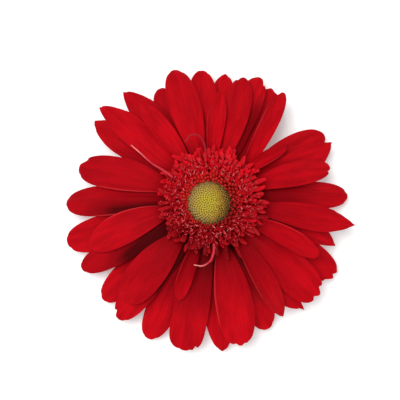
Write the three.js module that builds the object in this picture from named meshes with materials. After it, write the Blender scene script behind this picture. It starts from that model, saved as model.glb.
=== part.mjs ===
// A cut gerbera: one open flower head on a short cut stalk, standing face up.
// Millimetres, +Z up. The origin is on the surface that the stalk stands on, under the middle of the head.

import * as THREE from "three";

// ---- Driving sizes -----------------------------------------------------------------------------

// Stalk and receptacle
const STALK_RADIUS = 3.9;
const STALK_LENGTH = 5; // from the cut to where the bracts begin
const STALK_WAIST = 0.2; // how much thinner it is halfway up
const RECEPTACLE_DEPTH = 11; // from the end of the stalk to the rim
const RECEPTACLE_CROWN = 0.9; // how far its top bulges above the rim
const RIM_MARGIN = 0.1; // how far the rim stands outside the outermost disc florets

// Bracts: three rows, each a little outside the one within it
const BRACT_THICKNESS = 0.65;
const BRACT_COUNT = 13; // in each row

// Ray florets
const RAY_REACH = 55; // from the axis to the tip of a full ray floret
const RAY_WIDTH = 12;
const RAY_THICKNESS = 0.55;
const CLAW_WIDTH = 2.4; // the narrow foot of a ray floret
const CLAW_SETBACK = 1.5; // how far outside the receptacle's rim the foot begins
const WIDEST_AT = 0.64; // share of the floret's length
const TIP_WIDTH = 0.2; // width of the very tip, as a share of the floret's width
const CLAW_RISE = 0.42; // slope of a floret as it leaves the head
const TIP_FALL = 0.34; // slope of its tip, downwards

// Disc florets: a dome of buds, then rings that lean outwards, from the innermost to the outermost.
// lean and height are how far a ring's tips stand outside and above its roots, knee how far out it bends.
const DOME_RADIUS = 7.5;
const DOME_HEIGHT = 10.2;
const DISC_RINGS = [
  { name: "open_disc_florets", count: 24, thickness: 1.1, lean: 3.3, height: 9.1, knee: 1.2, notch: 0.75 },
  { name: "trans_florets", count: 30, thickness: 1.2, lean: 6.1, height: 9.1, knee: 1.4, notch: 0.7 },
  { name: "fringe_florets", count: 34, thickness: 1.3, lean: 9.4, height: 8.2, knee: 1, notch: 0.62 },
];

// Thin threadlike florets that curl out of the disc
const THREAD_RADIUS = 0.42;
const THREAD_SHELF = 4.5; // how far outside the disc they stay level with it

// Free air between neighbours
const CLEARANCE = 0.45;
const BRACT_CLEARANCE = 0.7; // more, because the bracts bend round the receptacle

// Each ring of disc florets stands just outside the one within it, and the receptacle carries them all.
let packedRadius = DOME_RADIUS;
for (const ring of DISC_RINGS) {
  ring.root = packedRadius + CLEARANCE + ring.thickness / 2;
  packedRadius = ring.root + ring.thickness / 2;
}
const RECEPTACLE_RADIUS = packedRadius + RIM_MARGIN;
const RIM_HEIGHT = STALK_LENGTH + RECEPTACLE_DEPTH;
const CLAW_RADIUS = RECEPTACLE_RADIUS + CLAW_SETBACK;
const CLAW_HEIGHT = RIM_HEIGHT + RAY_THICKNESS;
const SEAT_HEIGHT = RIM_HEIGHT + RECEPTACLE_CROWN + CLEARANCE; // where the disc florets begin
const FOOT_GAP = 0.9; // how much higher the rings begin, where the receptacle's top slopes away
const RING_SLOPE = 0.13; // slope of a ring's tips, upwards

// ---- Ray florets, row by row from the underside -------------------------------------------------

// claw and tip: bearings in degrees, anticlockwise from +X. reach and width: shares of RAY_REACH and
// RAY_WIDTH. bow: how far the middle stands to the left of the straight line, in mm. roll: how far the
// left edge is raised and the right edge lowered, in mm. cup: how far both edges are raised, in mm.
// blunt: how square the tip is, from 1.4 for a pointed one to 3.4 for a nearly square one.
function ray(claw, tip, reach, width, bow, roll, cup, blunt = 2.2) {
  return { claw, tip, reach, width, bow, roll, cup, blunt };
}

// tipHeight is where a full floret of the row ends, above the surface under the flower.
const ROWS = [
  {
    name: "outer_ray_floret",
    tipHeight: 4.2,
    florets: [
      ray(8, 6, 0.96, 0.88, 0.3, -0.3, -0.4, 2.6),
      ray(35, 34, 0.96, 1.0, 0.4, 0.2, -0.5),
      ray(60, 63, 0.97, 0.86, 0, 0, 0.3),
      ray(84, 84, 0.98, 0.88, 0.3, 0.2, -0.3),
      ray(112, 113, 0.94, 0.92, 0, -0.2, 0.3, 2.0),
      ray(145, 143, 1.04, 0.98, -0.5, 0.4, -0.4, 1.6),
      ray(190, 193, 1.03, 1.08, 0.5, -0.3, 0.3, 2.0),
      ray(219, 220, 0.98, 1.0, 0, 0.3, -0.4),
      ray(243, 244, 1.0, 1.0, 0.4, 0, -0.5, 2.4),
      ray(276, 275, 0.99, 1.0, -0.3, -0.3, 0.3, 2.0),
      ray(297, 295, 0.92, 1.0, 0.3, 0.2, -0.4),
      ray(333, 332, 0.98, 1.1, 0, -0.2, 0.3, 2.4),
    ],
  },
  {
    name: "middle_ray_floret",
    tipHeight: 6.4,
    florets: [
      ray(25, 26, 0.97, 0.92, -0.3, 0.2, 0.3, 1.6),
      ray(71, 70, 1.0, 0.92, 0.3, -0.3, -0.4),
      ray(95, 94, 0.99, 0.94, 0, 0.2, 0.4),
      ray(124, 124, 1.04, 0.96, 0.4, 0, -0.3, 1.4),
      ray(176, 178, 1.01, 1.1, -0.4, 0.5, -0.3, 2.6),
      ray(206, 205, 0.99, 1.0, 0.3, -0.2, -0.3),
      ray(232, 230, 1.0, 1.0, -0.3, 0.3, 0.3),
      ray(259, 259, 1.0, 1.12, 0, 0, 0.4, 3.0),
      ray(311, 309, 0.95, 0.92, -0.4, -0.3, -0.3, 1.5),
      ray(347, 346, 0.9, 0.84, 0.3, 0.2, 0.3, 1.6),
    ],
  },
  {
    name: "inner_ray_floret",
    tipHeight: 10,
    florets: [
      ray(354, 353, 1.0, 0.84, -0.4, -0.3, 0.4, 1.5),
      ray(24, 19, 0.87, 0.8, 0.3, -0.2, -0.4, 2.6),
      ray(75, 76, 0.95, 0.88, -0.3, -0.3, -0.4, 2.4),
      ray(42, 58, 0.96, 0.66, -0.7, 0.7, 0.3, 2.2),
      ray(106, 105, 1.01, 1.0, -0.3, 0.3, -0.5, 2.4),
      ray(137, 135.5, 1.06, 0.88, 0.5, 0.3, -0.4, 1.4),
      ray(121, 124.5, 0.86, 0.62, -0.3, -0.3, 0.3),
      ray(158, 163, 0.96, 1.06, -0.5, -0.4, -0.4, 2.5),
      ray(189, 198, 0.88, 1.02, -0.6, 0.4, -0.4, 2.1),
      ray(226, 227.5, 0.88, 1.16, -0.3, 0.3, -0.5, 2.6),
      ray(284, 282, 0.975, 1.17, 0.3, 0.2, -0.5, 2.5),
      ray(319, 319.5, 0.96, 1.18, 0.3, -0.3, 0.3, 3.4),
      ray(306, 302.5, 0.9, 0.7, 0.5, -0.6, 0.3, 2.2),
      ray(334, 334.5, 0.81, 0.64, 0.3, -0.3, 0.3, 2.0),
    ],
  },
  {
    name: "short_ray_floret",
    tipHeight: 15,
    florets: [
      ray(44, 38, 0.65, 0.5, 0.2, 0.2, 0.4, 2.0),
      ray(89, 85.5, 0.8, 0.58, 0.3, 0.2, 0.4, 1.7),
      ray(252, 251, 0.69, 0.54, -0.3, -0.4, 0.4, 2.2),
    ],
  },
];

// ---- Geometry helpers ---------------------------------------------------------------------------

const bearing = (degrees, radius, height = 0) => {
  const a = THREE.MathUtils.degToRad(degrees);
  return new THREE.Vector3(radius * Math.cos(a), radius * Math.sin(a), height);
};

// A closed surface from a grid of upper points and a grid of lower points, both as rows of vectors.
// closedAcross joins the last column to the first one, for a ring.
function closedShell(upper, lower, closedAcross = false) {
  const rows = upper.length;
  const columns = upper[0].length;
  const points = [...upper.flat(), ...lower.flat()];
  const below = rows * columns;
  const at = (i, j) => i * columns + (j % columns);
  const index = [];
  const quad = (a, b, c, d) => index.push(a, b, c, a, c, d);
  const lastColumn = closedAcross ? columns : columns - 1;
  for (let i = 0; i < rows - 1; i++) {
    for (let j = 0; j < lastColumn; j++) {
      quad(at(i, j), at(i + 1, j), at(i + 1, j + 1), at(i, j + 1));
      quad(
        below + at(i, j),
        below + at(i, j + 1),
        below + at(i + 1, j + 1),
        below + at(i + 1, j),
      );
    }
    if (!closedAcross) {
      const end = columns - 1;
      quad(at(i, 0), below + at(i, 0), below + at(i + 1, 0), at(i + 1, 0));
      quad(
        at(i, end),
        at(i + 1, end),
        below + at(i + 1, end),
        below + at(i, end),
      );
    }
  }
  for (let j = 0; j < lastColumn; j++) {
    const end = rows - 1;
    quad(at(0, j), at(0, j + 1), below + at(0, j + 1), below + at(0, j));
    quad(
      at(end, j),
      below + at(end, j),
      below + at(end, j + 1),
      at(end, j + 1),
    );
  }
  return new THREE.BufferGeometry().setFromPoints(points).setIndex(index);
}

// A solid of revolution about Z from [radius, height] pairs that start and end on the axis.
function turned(profile, segments) {
  const points = profile.map(([r, z]) => new THREE.Vector2(r, z));
  return new THREE.LatheGeometry(points, segments).rotateX(Math.PI / 2);
}

// A ring of joined pointed lobes on a curve of (radius, height) points, root first. inside and outside are
// how far the wall's faces stand off the curve. The wall begins at the share root of the curve and reaches
// the shares lobe.notch between lobes and lobe.tip at their tips.
function lobedRing({ count, curve, inside, outside, lobe, stations, root = 0, turn = 0 }) {
  const columns = count * 2;
  const face = (offset) =>
    Array.from({ length: stations }, (_, i) =>
      Array.from({ length: columns }, (_, j) => {
        const share = root + (i / (stations - 1)) * ((j % 2 ? lobe.tip : lobe.notch) - root);
        const point = curve.getPoint(share);
        const along = curve.getTangent(share);
        const degrees = turn + (360 * j) / columns;
        return bearing(degrees, point.x + along.y * offset, point.y - along.x * offset);
      }),
    );
  return closedShell(face(inside), face(outside), true);
}

function named(name, geometry, material) {
  const mesh = new THREE.Mesh(geometry, material);
  mesh.name = name;
  return mesh;
}

// ---- Materials ----------------------------------------------------------------------------------

const rayRed = new THREE.MeshStandardMaterial({ color: 0xc20d1c, roughness: 0.55 });
const floretRed = new THREE.MeshStandardMaterial({ color: 0xb50f22, roughness: 0.5 });
const threadPink = new THREE.MeshStandardMaterial({ color: 0xd8455a, roughness: 0.45 });
const budYellow = new THREE.MeshStandardMaterial({ color: 0xb3a23a, roughness: 0.7 });
const bractGreen = new THREE.MeshStandardMaterial({ color: 0x6b8a3c, roughness: 0.7 });
const stalkGreen = new THREE.MeshStandardMaterial({ color: 0x7d9a4a, roughness: 0.6 });

// ---- Stalk and receptacle -----------------------------------------------------------------------

// The outside of the receptacle's cup, from the stalk to the rim, as (radius, height).
const CUP = new THREE.QuadraticBezierCurve(
  new THREE.Vector2(STALK_RADIUS, STALK_LENGTH),
  new THREE.Vector2(RECEPTACLE_RADIUS * 0.88, STALK_LENGTH + RECEPTACLE_DEPTH * 0.2),
  new THREE.Vector2(RECEPTACLE_RADIUS, RIM_HEIGHT),
);

function stalkAndReceptacle() {
  const cup = CUP.getPoints(7).map((p) => [p.x, p.y]);
  const profile = [
    [0, 0],
    [STALK_RADIUS, 0],
    [STALK_RADIUS - STALK_WAIST, STALK_LENGTH / 2],
    ...cup,
    [RECEPTACLE_RADIUS / 2, RIM_HEIGHT + RECEPTACLE_CROWN * 0.8],
    [0, RIM_HEIGHT + RECEPTACLE_CROWN],
  ];
  return named("stalk_and_receptacle", turned(profile, 24), stalkGreen);
}

// ---- Bracts -------------------------------------------------------------------------------------

// Row 0 is the innermost and tallest. Each further row is shorter and lies outside it.
function bractRow(row) {
  const names = ["inner_bract_row", "middle_bract_row", "outer_bract_row"];
  const tips = [0.97, 0.8, 0.6];
  const notches = [0.64, 0.5, 0.36]; // where neighbouring bracts part
  const inside = BRACT_CLEARANCE + row * (BRACT_THICKNESS + BRACT_CLEARANCE);
  const geometry = lobedRing({
    count: BRACT_COUNT,
    curve: CUP,
    inside,
    outside: inside + BRACT_THICKNESS,
    lobe: { tip: tips[row], notch: notches[row] },
    stations: 7,
    root: 0.16,
    turn: (row * 180) / BRACT_COUNT,
  });
  return named(names[row], geometry, bractGreen);
}

// ---- Ray florets --------------------------------------------------------------------------------

const FINE_STATIONS = 33; // along a floret, for working out how the florets lie on each other
const ACROSS = [-1, -0.75, -0.5, -0.25, 0, 0.25, 0.5, 0.75, 1];
const OVERHANG = 1.2; // a floret counts as covered this far past its neighbour's edge, in mm
const STATIONS = [0, 0.18, 0.36, 0.56, 0.74, 0.87, 0.955, 1];
const COLUMNS = [-1, -0.5, 0, 0.5, 1];

// A ray floret's own axes: start, the direction to its tip, and the direction to its left.
function placed(floret, row) {
  const start = bearing(floret.claw, CLAW_RADIUS);
  const end = bearing(floret.tip, RAY_REACH * floret.reach);
  const forward = end.clone().sub(start);
  const length = forward.length();
  forward.normalize();
  const left = new THREE.Vector3(-forward.y, forward.x, 0);
  return { ...floret, start, forward, left, length, tipHeight: row.tipHeight, lift: [] };
}

function halfWidth(floret, share) {
  const full = (RAY_WIDTH * floret.width) / 2;
  const claw = CLAW_WIDTH / 2;
  if (share < WIDEST_AT) {
    const growth = Math.sin((Math.PI / 2) * (Math.max(share, 0) / WIDEST_AT));
    return claw + (full - claw) * growth;
  }
  const past = Math.min((share - WIDEST_AT) / (1 - WIDEST_AT), 1);
  const rounding = (1 - past ** floret.blunt) ** (1 / 2);
  return full * Math.max(rounding, TIP_WIDTH);
}

const middleLine = (floret, share) => floret.bow * 4 * share * (1 - share);

// How far a point of the blade stands above the floret's middle line.
function section(floret, share, across) {
  const openness = Math.min(1, Math.max(0, share) / WIDEST_AT);
  return (floret.cup * across * across + floret.roll * across) * openness;
}

// The height of the middle line before the floret is laid on those under it.
function ownHeight(floret, share) {
  const s = share;
  const start = (1 + 2 * s) * (1 - s) ** 2 * CLAW_HEIGHT;
  const rise = s * (1 - s) ** 2 * CLAW_RISE * floret.length;
  const end = s * s * (3 - 2 * s) * floret.tipHeight;
  const fall = s * s * (1 - s) * TIP_FALL * floret.length;
  return start + rise + end + fall;
}

function liftAt(floret, share) {
  const position = Math.min(Math.max(share, 0), 1) * (FINE_STATIONS - 1);
  const i = Math.min(Math.floor(position), FINE_STATIONS - 2);
  const rest = position - i;
  return floret.lift[i] * (1 - rest) + floret.lift[i + 1] * rest;
}

function bladePoint(floret, share, across) {
  const side = middleLine(floret, share) + across * halfWidth(floret, share);
  return floret.start
    .clone()
    .addScaledVector(floret.forward, share * floret.length)
    .addScaledVector(floret.left, side);
}

// The height of a laid floret's middle surface over a point, or nothing where it doesn't reach.
function heightOver(floret, point) {
  const offset = point.clone().sub(floret.start);
  const along = offset.dot(floret.forward);
  const share = along / floret.length;
  if (along < -OVERHANG || along > floret.length + OVERHANG) return null;
  const side = offset.dot(floret.left) - middleLine(floret, share);
  const half = halfWidth(floret, share);
  if (Math.abs(side) > half + OVERHANG) return null;
  const across = Math.min(Math.max(side / half, -1), 1);
  return ownHeight(floret, share) + liftAt(floret, share) + section(floret, share, across);
}

// Lays a floret on those already laid: each of its stations is lifted clear of them, and the lift is
// then spread along the floret, so that the blade stays smooth.
function lay(floret, laid) {
  const pitch = RAY_THICKNESS + CLEARANCE;
  const needed = [];
  for (let i = 0; i < FINE_STATIONS; i++) {
    const share = i / (FINE_STATIONS - 1);
    let lift = 0;
    for (const across of ACROSS) {
      const point = bladePoint(floret, share, across);
      const own = ownHeight(floret, share) + section(floret, share, across);
      for (const under of laid) {
        const height = heightOver(under, point);
        if (height !== null) lift = Math.max(lift, height + pitch - own);
      }
    }
    needed.push(lift);
  }
  const around = (list, i, reach) => list.slice(Math.max(0, i - reach), i + reach + 1);
  const SPREAD = 3;
  const widened = needed.map((_, i) => Math.max(...around(needed, i, SPREAD)));
  floret.lift = widened.map((_, i) => {
    const near = around(widened, i, SPREAD);
    return near.reduce((sum, v) => sum + v, 0) / near.length;
  });
}

function rayGeometry(floret) {
  const surface = (side) =>
    STATIONS.map((share) =>
      COLUMNS.map((across) => {
        const point = bladePoint(floret, share, -across);
        point.z = ownHeight(floret, share) + liftAt(floret, share);
        point.z += section(floret, share, -across) + (side * RAY_THICKNESS) / 2;
        return point;
      }),
    );
  return closedShell(surface(-1), surface(1));
}

// All the ray florets, laid one on another from the underside up.
function laidFlorets() {
  const laid = [];
  for (const row of ROWS) {
    row.florets.forEach((floret, i) => {
      const blade = placed(floret, row);
      blade.name = `${row.name}_${String(i + 1).padStart(2, "0")}`;
      lay(blade, laid);
      laid.push(blade);
    });
  }
  return laid;
}

// ---- Disc florets -------------------------------------------------------------------------------

// A ring's middle surface as (radius, height). raise lifts its knee and its tips.
function ringCurve(ring, raise) {
  const foot = SEAT_HEIGHT + FOOT_GAP;
  const top = foot + ring.height + raise;
  return new THREE.QuadraticBezierCurve(
    new THREE.Vector2(ring.root, foot),
    new THREE.Vector2(ring.root + ring.knee, top - (ring.lean - ring.knee) * RING_SLOPE),
    new THREE.Vector2(ring.root + ring.lean, top),
  );
}

// How far the rings are raised so that the outermost one is clear of the ray florets under it.
function raiseOver(blades) {
  const ring = DISC_RINGS.at(-1);
  const curve = ringCurve(ring, 0);
  const underside = Array.from({ length: FINE_STATIONS }, (_, i) => {
    const share = i / (FINE_STATIONS - 1);
    const along = curve.getTangent(share);
    const outwards = new THREE.Vector2(along.y, -along.x);
    return curve.getPoint(share).addScaledVector(outwards, ring.thickness / 2 + CLEARANCE);
  });
  let raise = 0;
  for (const blade of blades) {
    for (let i = 0; i < FINE_STATIONS; i++) {
      for (const across of ACROSS) {
        const point = bladePoint(blade, i / (FINE_STATIONS - 1), across);
        const radius = Math.hypot(point.x, point.y);
        const next = underside.findIndex((p) => p.x >= radius);
        const top = heightOver(blade, point) + RAY_THICKNESS / 2;
        if (next > 0) raise = Math.max(raise, top - underside[next - 1].y);
      }
    }
  }
  return raise;
}

function discRing(ring, raise) {
  const geometry = lobedRing({
    count: ring.count,
    curve: ringCurve(ring, raise),
    inside: -ring.thickness / 2,
    outside: ring.thickness / 2,
    lobe: { tip: 1, notch: ring.notch },
    stations: 4,
  });
  return named(ring.name, geometry, floretRed);
}

// The dome stands inside the innermost ring, on a narrower neck.
function budDome(raise) {
  const height = DOME_HEIGHT + raise;
  const profile = [
    [0, 0],
    [0.77, 0],
    [0.79, 0.3],
    [0.9, 0.5],
    [1, 0.68],
    [0.93, 0.82],
    [0.72, 0.92],
    [0.4, 0.98],
    [0, 1],
  ].map(([r, z]) => [r * DOME_RADIUS, SEAT_HEIGHT + z * height]);
  return named("unopened_disc_florets", turned(profile, 20), budYellow);
}

// ---- Threadlike florets -------------------------------------------------------------------------

// Each path runs outwards from the disc: the bearing, how far outside the disc's edge, and how far above
// the florets under it.
const THREADS = [
  [
    [150, -4.6, 0.4],
    [149, -1, 0.9],
    [146.5, 6, 0.9],
    [144.5, 12, 0.4],
    [143.5, 16.4, 0.2],
  ],
  [
    [97, -3.6, 0.4],
    [98, 0.4, 1.1],
    [102, 3.2, 1.2],
    [108, 3.8, 1.1],
    [114.5, 2.2, 0.9],
  ],
  [
    [273, -4.8, 0.4],
    [271.5, -1, 1.2],
    [268, 1.8, 1.2],
    [262, 3.6, 1],
    [255, 3.8, 0.6],
  ],
];

// The highest surface under a point: the disc's, near the disc, or else the ray florets'.
function topUnder(point, blades, raise) {
  const edge = ringCurve(DISC_RINGS.at(-1), raise).v2;
  if (Math.hypot(point.x, point.y) < edge.x + THREAD_SHELF) {
    const tops = DISC_RINGS.map((ring) => ringCurve(ring, raise).v2.y + ring.thickness / 2);
    return Math.max(...tops);
  }
  const heights = blades.map((blade) => heightOver(blade, point) ?? 0);
  return Math.max(...heights) + RAY_THICKNESS / 2;
}

function thread(path, i, blades, raise) {
  const edge = ringCurve(DISC_RINGS.at(-1), raise).v2.x;
  const points = path.map(([degrees, outside, above]) => {
    const point = bearing(degrees, edge + outside);
    point.z = topUnder(point, blades, raise) + CLEARANCE + THREAD_RADIUS + above;
    return point;
  });
  const section = new THREE.Shape().absarc(0, 0, THREAD_RADIUS, 0, 2 * Math.PI);
  const geometry = new THREE.ExtrudeGeometry(section, {
    extrudePath: new THREE.CatmullRomCurve3(points),
    steps: 12,
    curveSegments: 4,
    bevelEnabled: false,
  });
  return named(`thread_floret_${i + 1}`, geometry, threadPink);
}

// ---- The flower ---------------------------------------------------------------------------------

const flower = new THREE.Group();
flower.add(stalkAndReceptacle());
[0, 1, 2].forEach((row) => flower.add(bractRow(row)));
const blades = laidFlorets();
blades.forEach((blade) => flower.add(named(blade.name, rayGeometry(blade), rayRed)));
const raise = raiseOver(blades);
DISC_RINGS.forEach((ring) => flower.add(discRing(ring, raise)));
flower.add(budDome(raise));
THREADS.forEach((path, i) => flower.add(thread(path, i, blades, raise)));

// The florets spread unevenly, so the flower is moved to bring the middle of its outline over the origin.
const box = new THREE.Box3().setFromObject(flower);
const centre = box.getCenter(new THREE.Vector3());
flower.position.set(-centre.x, -centre.y, -box.min.z);

const gerbera = new THREE.Group();
gerbera.add(flower);

export default gerbera;
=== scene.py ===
"""A cut gerbera head, face up on its short stalk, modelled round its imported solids."""

import math
import random

import bpy
import numpy as np
from bpy.props import FloatProperty, FloatVectorProperty, IntProperty, PointerProperty
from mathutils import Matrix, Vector


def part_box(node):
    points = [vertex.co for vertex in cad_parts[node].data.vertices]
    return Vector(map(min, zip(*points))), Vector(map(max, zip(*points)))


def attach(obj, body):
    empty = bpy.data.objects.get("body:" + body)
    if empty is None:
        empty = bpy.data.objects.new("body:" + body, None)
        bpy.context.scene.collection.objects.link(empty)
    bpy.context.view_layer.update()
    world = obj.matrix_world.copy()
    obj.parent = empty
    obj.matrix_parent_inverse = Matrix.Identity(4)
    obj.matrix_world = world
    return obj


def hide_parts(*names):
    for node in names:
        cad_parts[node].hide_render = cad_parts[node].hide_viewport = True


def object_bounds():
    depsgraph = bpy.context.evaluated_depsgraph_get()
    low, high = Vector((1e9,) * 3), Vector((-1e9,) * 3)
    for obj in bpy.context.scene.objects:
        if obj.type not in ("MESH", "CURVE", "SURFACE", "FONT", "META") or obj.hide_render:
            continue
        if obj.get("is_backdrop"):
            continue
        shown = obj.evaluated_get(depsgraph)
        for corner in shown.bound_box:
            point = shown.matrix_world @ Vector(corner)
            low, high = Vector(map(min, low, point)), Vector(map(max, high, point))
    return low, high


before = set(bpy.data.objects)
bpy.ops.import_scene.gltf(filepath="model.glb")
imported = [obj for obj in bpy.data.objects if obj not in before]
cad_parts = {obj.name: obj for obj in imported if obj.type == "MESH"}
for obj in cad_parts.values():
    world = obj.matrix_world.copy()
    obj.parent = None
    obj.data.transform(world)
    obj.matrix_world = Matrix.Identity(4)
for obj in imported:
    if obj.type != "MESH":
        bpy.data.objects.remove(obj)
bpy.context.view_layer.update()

bl_info = {
    "name": "Gerbera Head",
    "version": (1, 0, 0),
    "blender": (4, 5, 0),
    "location": "3D View > Sidebar > Gerbera",
    "description": "Models a cut gerbera head round its packed solids",
    "category": "Add Mesh",
}

MM = 0.001
GOLDEN_ANGLE = math.pi * (3 - math.sqrt(5))
UPWARDS = np.array([0, 0, 1.0])
DOME_LEAN = np.array([-0.9, -0.7, 0.0]) * MM  # how far the dome of buds leans off the head's axis


# ---- Sizes and colours -------------------------------------------------------------------------


def length(name, description, millimetres):
    metres = millimetres * MM
    return FloatProperty(
        name=name, description=description, default=metres, min=0, subtype="DISTANCE", unit="LENGTH"
    )


def how_many(name, description, default, least):
    return IntProperty(name=name, description=description, default=default, min=least)


def colour(name, description, default):
    return FloatVectorProperty(
        name=name, description=description, default=default, min=0, max=1, size=3, subtype="COLOR"
    )


class GerberaSizes(bpy.types.PropertyGroup):
    ray_thickness: length("Ray thickness", "Thickness of a ray floret along its middle", 0.42)
    ray_margin: length("Ray margin", "Thickness of a ray floret at its edges", 0.16)
    vein_depth: length("Vein depth", "Depth of a ray floret's lengthwise grooves", 0.13)
    ripple: length("Ripple", "How far a ray floret's edges wave up and down", 0.16)
    inrolling: length("Inrolling", "How far the edges of the narrowest ray florets stand up", 1.3)
    bract_thickness: length("Bract thickness", "Thickness of a bract along its keel", 0.42)
    open_florets: how_many("Open florets", "Number of open florets round the disc", 250, least=20)
    skirt_florets: how_many("Skirt florets", "Number of low florets round the disc's foot", 40, least=0)
    closed_florets: how_many("Closed florets", "Number of red florets that are still closed", 150, least=10)
    buds: how_many("Buds", "Number of green buds in the middle", 275, least=50)


class GerberaColours(bpy.types.PropertyGroup):
    # Ray red and Ray deep red bound the rays' tone, which holds random tone, painted light by bearing and
    # painted shade; Ray margin is partly a painted highlight.
    ray_light: colour("Ray red", "Face of a ray floret where it is brightest", (0.58, 0.0022, 0.0085))
    ray_deep: colour("Ray deep red", "Face of a ray floret where it is darkest", (0.19, 0.0005, 0.003))
    ray_margin: colour("Ray margin", "Thin edges of a ray floret", (0.6, 0.022, 0.03))
    ray_back: colour("Ray back", "Underside of a ray floret", (0.43, 0.02, 0.028))
    floret: colour("Floret red", "Tubes and lips of the disc florets", (0.7, 0.004, 0.013))
    closed: colour("Closed floret red", "Florets that are still closed", (0.7, 0.024, 0.024))
    anther: colour("Anther maroon", "Anther columns of the disc florets", (0.16, 0.002, 0.007))
    style: colour("Style pink", "Tips of the disc florets' styles", (0.8, 0.08, 0.09))
    bud: colour("Bud green", "Youngest buds in the middle", (0.6, 0.47, 0.022))
    bud_tip: colour("Bud brown", "Ripening buds at the edge of the dome", (0.05, 0.008, 0.003))
    bristle: colour("Bristle straw", "Bristles between the buds", (0.42, 0.3, 0.1))
    bract: colour("Bract green", "Backs of the bracts", (0.12, 0.22, 0.045))
    stalk: colour("Stalk green", "Skin of the stalk", (0.22, 0.33, 0.08))
    pith: colour("Pith", "Cut end of the stalk", (0.55, 0.58, 0.33))
    floor: colour("Floor", "Surface under the flower", (0.96, 0.96, 0.96))


# ---- Reading the solids ------------------------------------------------------------------------


def corners(node):
    """A solid's distinct corners, in metres."""
    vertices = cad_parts[node].data.vertices
    flat = np.empty(len(vertices) * 3)
    vertices.foreach_get("co", flat)
    return np.unique(flat.reshape(-1, 3).round(6), axis=0)


def middle(node):
    low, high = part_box(node)
    return (np.array(low) + np.array(high)) / 2


AXIS = middle("stalk_and_receptacle")[:2]


def nodes_named(part):
    return sorted(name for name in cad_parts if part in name)


def radii_of(points):
    """How far points are from the head's axis."""
    return np.hypot(*(points[:, :2] - AXIS).T)


def turned_outline(node):
    """The distinct corners of a turned solid, as pairs of radius and height."""
    points = corners(node)
    return np.unique(np.stack([radii_of(points), points[:, 2]], axis=1).round(5), axis=0)


def marks_along(line):
    """How far along a line each of its points is, from 0 at the first one."""
    steps = np.hypot(*np.diff(line, axis=0).T)
    return np.concatenate([[0], np.cumsum(steps)])


def smooth(xs, ys, x):
    """Values at x of a smooth curve through the points (xs, ys)."""
    slopes = np.gradient(ys, xs, axis=0)
    i = np.clip(np.searchsorted(xs, x) - 1, 0, len(xs) - 2)
    step = xs[i + 1] - xs[i]
    t = (x - xs[i]) / step
    if np.ndim(ys) > 1:
        step = step[..., None]
        t = t[..., None]
    start = (1 + 2 * t) * (1 - t) ** 2 * ys[i] + t * (1 - t) ** 2 * step * slopes[i]
    end = t**2 * (3 - 2 * t) * ys[i + 1] + t**2 * (t - 1) * step * slopes[i + 1]
    return start + end


RAY_ROWS = 8  # rows of corners along a ray floret's solid
RAY_COLUMNS = 5  # pairs of corners across it
RAY_WIDEST = 0.64  # share of a ray floret's length at which it is widest
SETTLING_ROUNDS = 4  # rounds in which a ray floret's foot and direction settle


def ray_sections(node):
    """A ray floret's foot, direction, length and cross-sections, read from its solid."""
    points = corners(node)
    ring = 2 * RAY_COLUMNS
    if len(points) != RAY_ROWS * ring:
        raise RuntimeError(f"{node} has {len(points)} corners")
    plan = points[:, :2]
    order = np.argsort(radii_of(points))
    for _ in range(SETTLING_ROUNDS):
        foot = plan[order[:ring]].mean(0)
        forward = plan[order[-ring:]].mean(0) - foot
        reach = np.hypot(*forward)
        forward /= reach
        order = np.argsort((plan - foot) @ forward)
    left = np.array([-forward[1], forward[0]])
    rows = points[order].reshape(RAY_ROWS, ring, 3)
    found = []
    for row in rows:
        lateral = (row[:, :2] - foot) @ left
        rank = np.argsort(lateral)
        lateral = lateral[rank].reshape(RAY_COLUMNS, 2).mean(1)
        height = row[rank, 2].reshape(RAY_COLUMNS, 2).mean(1)
        centre = (lateral[0] + lateral[-1]) / 2
        half = (lateral[-1] - lateral[0]) / 2
        cup, roll, level = np.polyfit((lateral - centre) / half, height, 2)
        along = ((row[:, :2] - foot) @ forward).mean() / reach
        found.append((along, centre, half, level, roll, cup))
    along, centre, half, level, roll, cup = np.array(found).T
    return {
        "foot": foot,
        "forward": forward,
        "left": left,
        "reach": reach,
        "along": along,
        "profile": np.stack([centre, half, level, roll, cup], axis=1),
    }


def lobe_curve(node, stations):
    """The bearing of one lobe of a ring, and its middle line as (radius, height) from root to tip."""
    points = corners(node)
    radius = radii_of(points)
    bearing = np.arctan2(points[:, 1] - AXIS[1], points[:, 0] - AXIS[0])
    tip = bearing[np.argmax(radius + points[:, 2])]
    apart = np.abs((bearing - tip + math.pi) % (2 * math.pi) - math.pi)
    near = np.argsort(apart)[: 2 * stations]
    line = np.stack([radius[near], points[near, 2]], axis=1)
    line = line[np.argsort(line.sum(1))].reshape(stations, 2, 2).mean(1)
    return tip, line


def along_line(line, shares):
    """Points of a smooth curve through line, at shares of its length from 0 at its root to 1 at its tip."""
    marks = marks_along(line)
    return smooth(marks / marks[-1], line, np.asarray(shares, float))


THREAD_SIDES = 8  # corners in each ring of a thread's solid


def thread_path(node):
    """The middle line of a thin tube, from its inner end to its outer one."""
    points = list(corners(node))
    start = min(points, key=lambda p: math.hypot(*(p[:2] - AXIS)))
    path = []
    last = start
    while points:
        points.sort(key=lambda p: np.linalg.norm(p - last))
        last = np.mean(points[:THREAD_SIDES], axis=0)
        path.append(last)
        points = points[THREAD_SIDES:]
    return np.array(path)


# ---- Mesh work ---------------------------------------------------------------------------------


def grid_faces(rows, columns, start=0, closed=False, flipped=False):
    """Quads over a grid of points that is numbered row by row."""
    i, j = np.mgrid[0 : rows - 1, 0 : columns if closed else columns - 1]
    a = i * columns + j
    b = i * columns + (j + 1) % columns
    quads = np.stack([a, b, b + columns, a + columns], axis=-1).reshape(-1, 4) + start
    return (quads[:, ::-1] if flipped else quads).tolist()


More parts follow.
